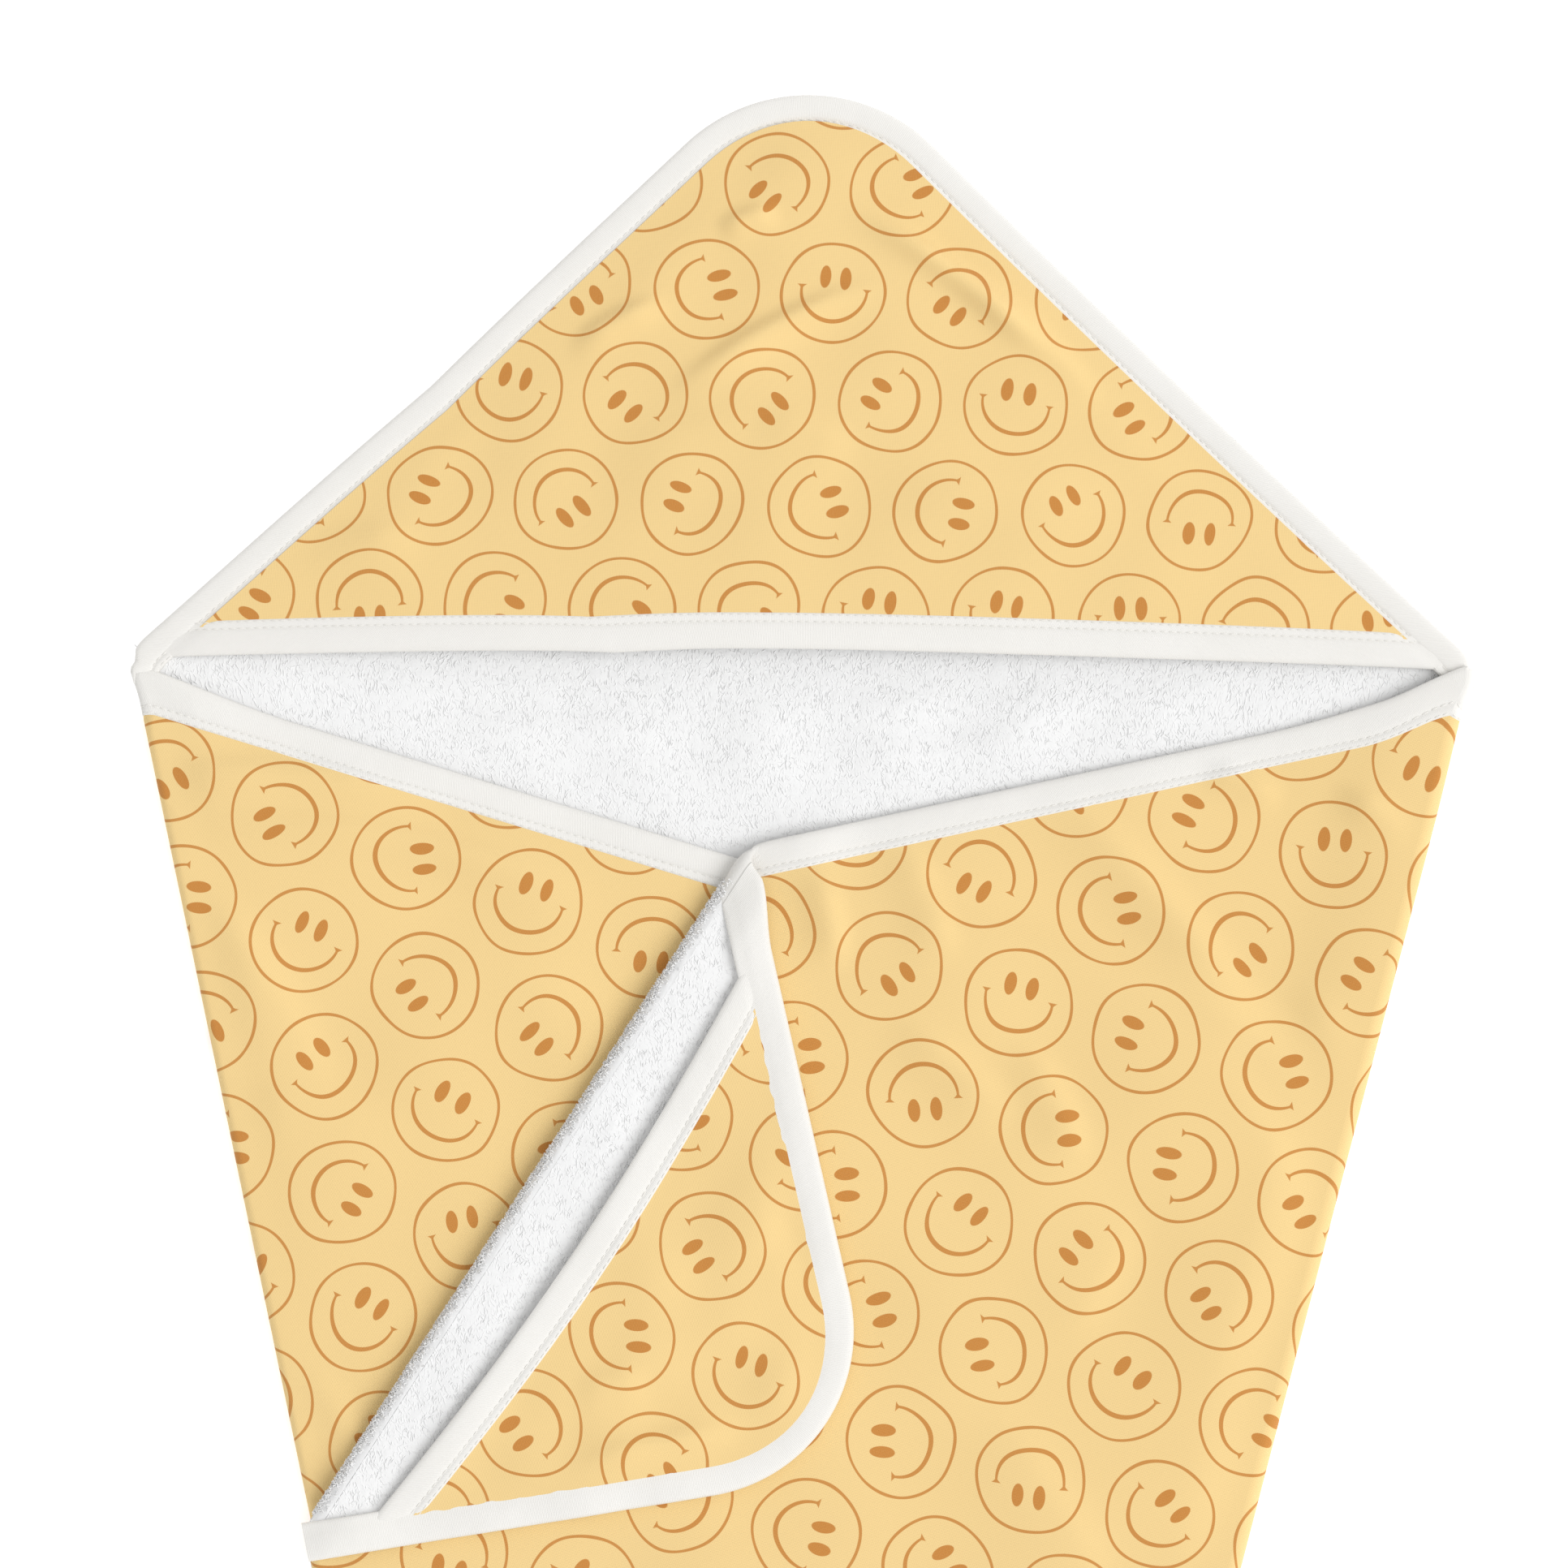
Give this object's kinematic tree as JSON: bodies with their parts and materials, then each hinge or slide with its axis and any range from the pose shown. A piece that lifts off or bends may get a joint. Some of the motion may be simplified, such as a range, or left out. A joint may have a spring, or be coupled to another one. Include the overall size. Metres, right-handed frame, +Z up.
{
  "type": "hooded baby towel",
  "caption": "Square two-ply baby towel with a corner hood and a corner hand pocket, bound in tape and folded flat with one corner turned back.",
  "frame": {"origin": "under the middle of the folded towel's outline, on the surface it lies on", "axes": "+Z up from that surface, +Y towards the hood's tip along the folded towel, +X across it"},
  "size_m": [0.4987, 1.1672, 0.023],
  "materials": {
    "printed_jersey": "fine jersey knit, pale yellow with an ochre line print",
    "terry": "white terry pile",
    "binding_tape": "warm white jersey tape, folded over the edge and stitched"
  },
  "bodies": {
    "towel_body": {"back_knit": "printed_jersey", "back_terry": "terry", "tail_tape": "binding_tape", "hood_edge_tape": "binding_tape", "hood_knit": "printed_jersey", "hood_terry": "terry", "hood_opening_tape": "binding_tape", "left_wing_knit": "printed_jersey", "left_wing_terry": "terry", "left_wing_tape": "binding_tape"},
    "right_wing": {"right_wing_knit": "printed_jersey", "right_wing_terry": "terry", "right_wing_top_tape": "binding_tape", "right_wing_side_tape": "binding_tape", "right_wing_tail_tape": "binding_tape"},
    "right_corner": {"corner_knit": "printed_jersey", "corner_terry": "terry", "corner_tape": "binding_tape", "pocket_seam_tape": "binding_tape", "pocket_knit": "printed_jersey", "pocket_terry": "terry", "pocket_opening_tape": "binding_tape"}
  },
  "joints": [
    {"name": "right_wing_fold", "type": "hinge", "parent": "towel_body", "child": "right_wing", "pos_m": [0.2495, 0.3615, 0.005], "axis": [0.2521, 0.9677, 0], "range_deg": [0, 175]},
    {"name": "corner_fold", "type": "hinge", "parent": "right_wing", "child": "right_corner", "pos_m": [-0.02, 0.3035, 0.01025], "axis": [-0.5438, -0.8392, 0], "range_deg": [0, 160]}
  ]
}
